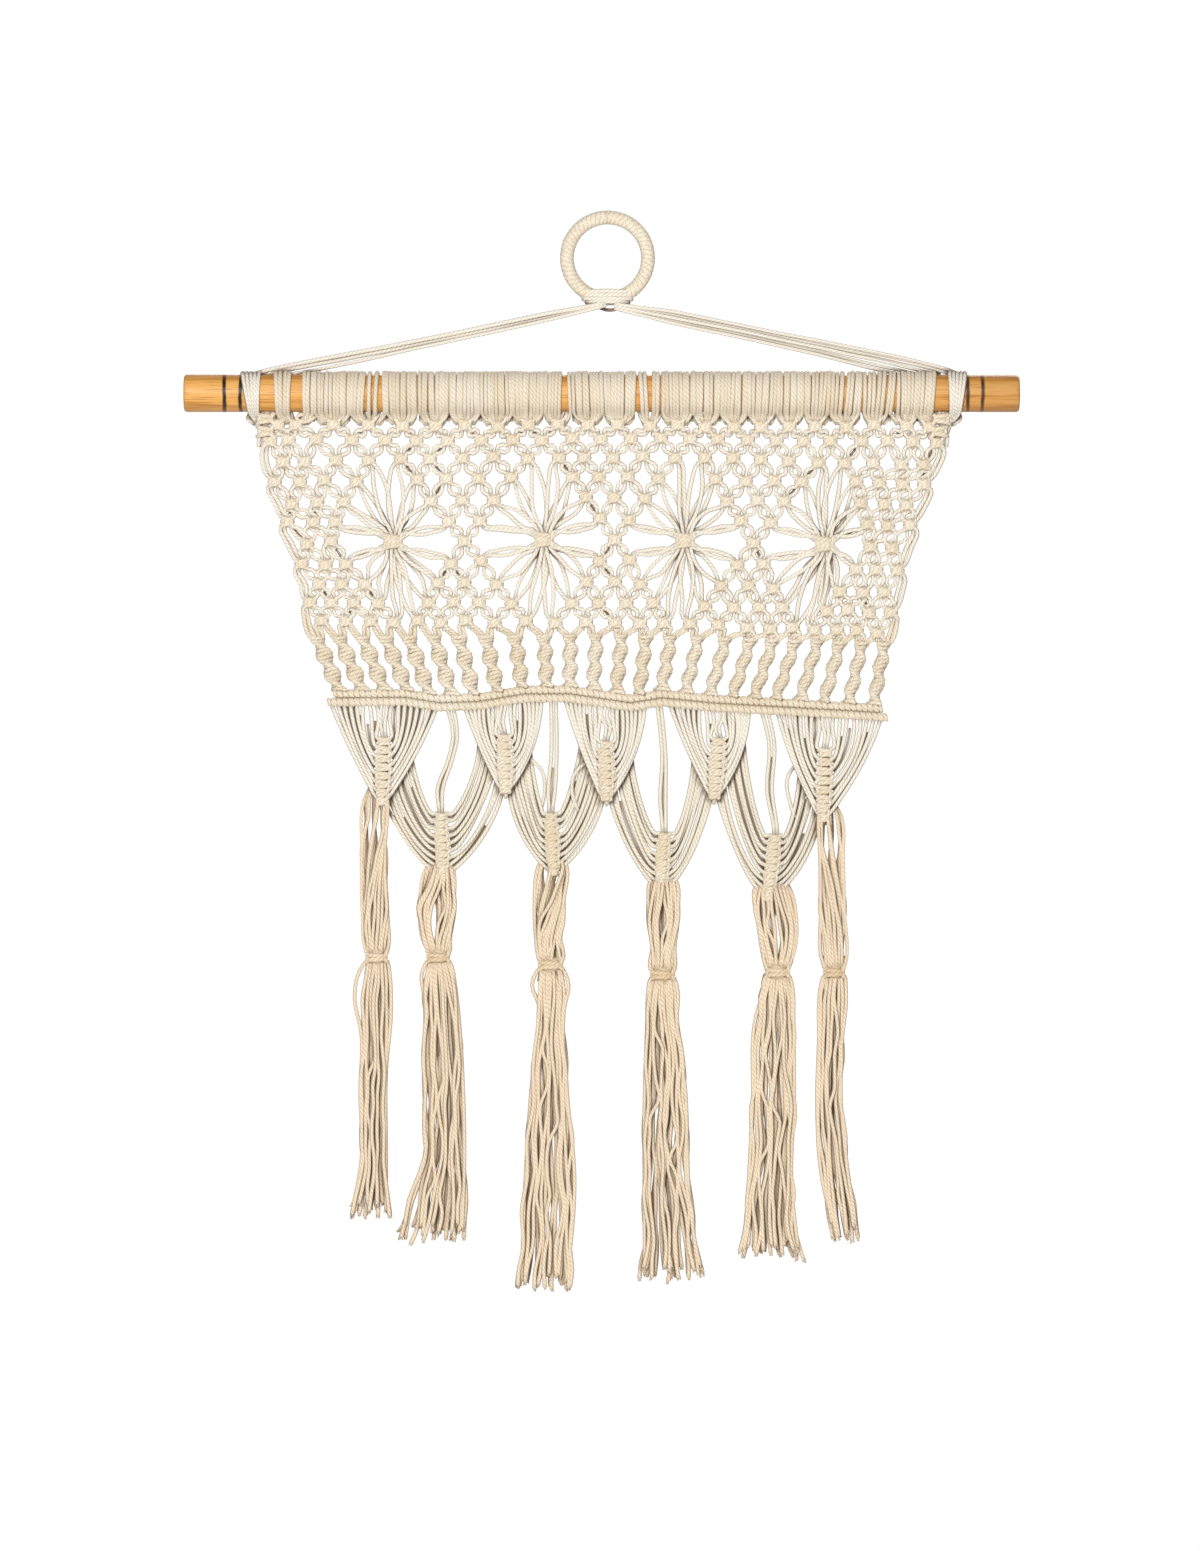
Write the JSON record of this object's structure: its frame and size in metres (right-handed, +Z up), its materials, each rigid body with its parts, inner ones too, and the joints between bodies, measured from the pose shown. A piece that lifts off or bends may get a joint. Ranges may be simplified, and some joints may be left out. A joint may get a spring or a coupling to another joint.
{
  "type": "macrame wall hanging on wooden dowel",
  "caption": "Macrame wall hanging on a wooden dowel: knotted net with gathered sunbursts, spirals, bars, swags and long tassels, hung by a cord-wrapped ring.",
  "frame": {"origin": "inner top of the hanging ring, in the middle of its tube's depth, where the nail or hook carries it", "axes": "+X to the viewer's right, +Z up, front faces -Y, wall behind at +Y"},
  "size_m": [0.501, 0.028, 0.6491],
  "materials": {
    "dowel_wood": "satin",
    "cream_cord": "matte",
    "beige_cord": "matte"
  },
  "bodies": {
    "root": {"dowel": "dowel_wood", "hanging_ring": "cream_cord", "hanger_left": "cream_cord", "hanger_right": "cream_cord", "dowel_loops_1": "cream_cord", "dowel_loops_2": "cream_cord", "dowel_loops_3": "cream_cord", "dowel_loops_4": "cream_cord", "dowel_loops_5": "cream_cord", "knotted_net": "cream_cord", "double_bar": "cream_cord", "upper_swag_1": "cream_cord", "upper_swag_2": "cream_cord", "upper_swag_3": "cream_cord", "upper_swag_4": "cream_cord", "upper_swag_5": "cream_cord", "lower_swag_1": "beige_cord", "lower_swag_2": "beige_cord", "lower_swag_3": "beige_cord", "lower_swag_4": "beige_cord", "tassel_1": "beige_cord", "tassel_2": "beige_cord", "tassel_3": "beige_cord", "tassel_4": "beige_cord", "tassel_5": "beige_cord", "tassel_6": "beige_cord"}
  },
  "joints": []
}
